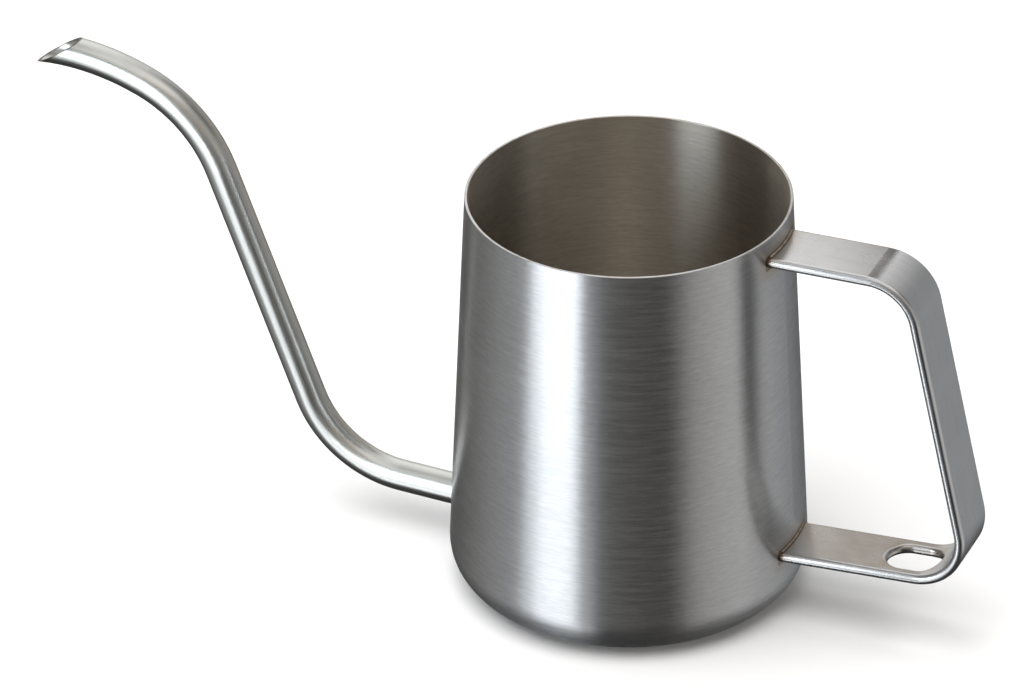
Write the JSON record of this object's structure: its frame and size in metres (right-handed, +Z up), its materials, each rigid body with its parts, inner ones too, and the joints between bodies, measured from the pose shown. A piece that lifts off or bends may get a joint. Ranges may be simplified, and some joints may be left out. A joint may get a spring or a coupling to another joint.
{
  "type": "gooseneck drip kettle",
  "caption": "Lidless stainless drip kettle: tapered vessel, thin gooseneck spout tube from low on the wall and a bent flat-strap handle with a hanging slot.",
  "frame": {"origin": "centre of the base's underside, where the vessel's own axis meets the table", "axes": "+Z up along the vessel's axis, +X towards the handle and -X towards the spout, +Y to complete a right-handed frame; the XZ plane is the plane of symmetry"},
  "size_m": [0.2215, 0.079, 0.1058],
  "materials": {
    "brushed_shell": "fine horizontal brushing round the body",
    "brushed_tube": "satin, polished along the tube",
    "brushed_strap": "fine satin on the faces, smoother rounded edges",
    "weld_bead": "rippled bead with brown heat tint"
  },
  "bodies": {
    "root": {"vessel_shell": "brushed_shell", "spout_tube": "brushed_tube", "handle_strap": "brushed_strap", "upper_handle_top_weld": "weld_bead", "upper_handle_under_weld": "weld_bead", "lower_handle_top_weld": "weld_bead", "lower_handle_under_weld": "weld_bead", "spout_weld": "weld_bead"}
  },
  "joints": []
}
